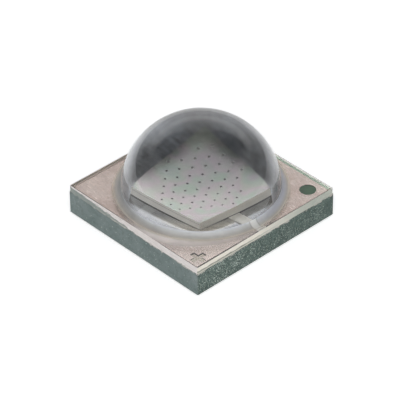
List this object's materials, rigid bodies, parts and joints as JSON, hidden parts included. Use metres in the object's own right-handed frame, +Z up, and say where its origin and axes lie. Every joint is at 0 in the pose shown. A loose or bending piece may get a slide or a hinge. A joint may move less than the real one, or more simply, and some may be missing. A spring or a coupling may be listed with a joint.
{
  "type": "high-power surface-mount led",
  "caption": "Square ceramic surface-mount LED with a clear moulded dome over a flat chip, and solder pads underneath.",
  "frame": {"origin": "middle of the square package, on the underside of the solder pads", "axes": "+Z up out of the dome; the corner at +X, -Y has the plus mark of the anode, and the corner at +X, +Y the round window"},
  "size_m": [0.0034, 0.0034, 0.0021],
  "materials": {
    "ceramic_green": "matte",
    "pad_plating": "satin",
    "top_metal": "satin",
    "gap_filler": "matte",
    "die_solder": "satin",
    "underfill": "matte",
    "chip_carrier": "satin",
    "chip_contact": "satin",
    "chip_mirror": "polished",
    "chip_emitter": "gloss",
    "clear_silicone": "gloss",
    "via_metal": "satin"
  },
  "bodies": {
    "root": {"ceramic_substrate": "ceramic_green", "anode_pad": "pad_plating", "cathode_pad": "pad_plating", "thermal_pad": "pad_plating", "anode_trace": "top_metal", "cathode_trace": "top_metal", "trace_gap_filler": "gap_filler", "die_anode_solder": "die_solder", "die_cathode_solder": "die_solder", "die_underfill": "underfill", "die_carrier": "chip_carrier", "die_contact_layer": "chip_contact", "die_mirror": "chip_mirror", "die_emitter": "chip_emitter", "silicone_lens": "clear_silicone", "anode_via_1": "via_metal", "anode_via_2": "via_metal", "cathode_via_1": "via_metal", "cathode_via_2": "via_metal"}
  },
  "joints": []
}
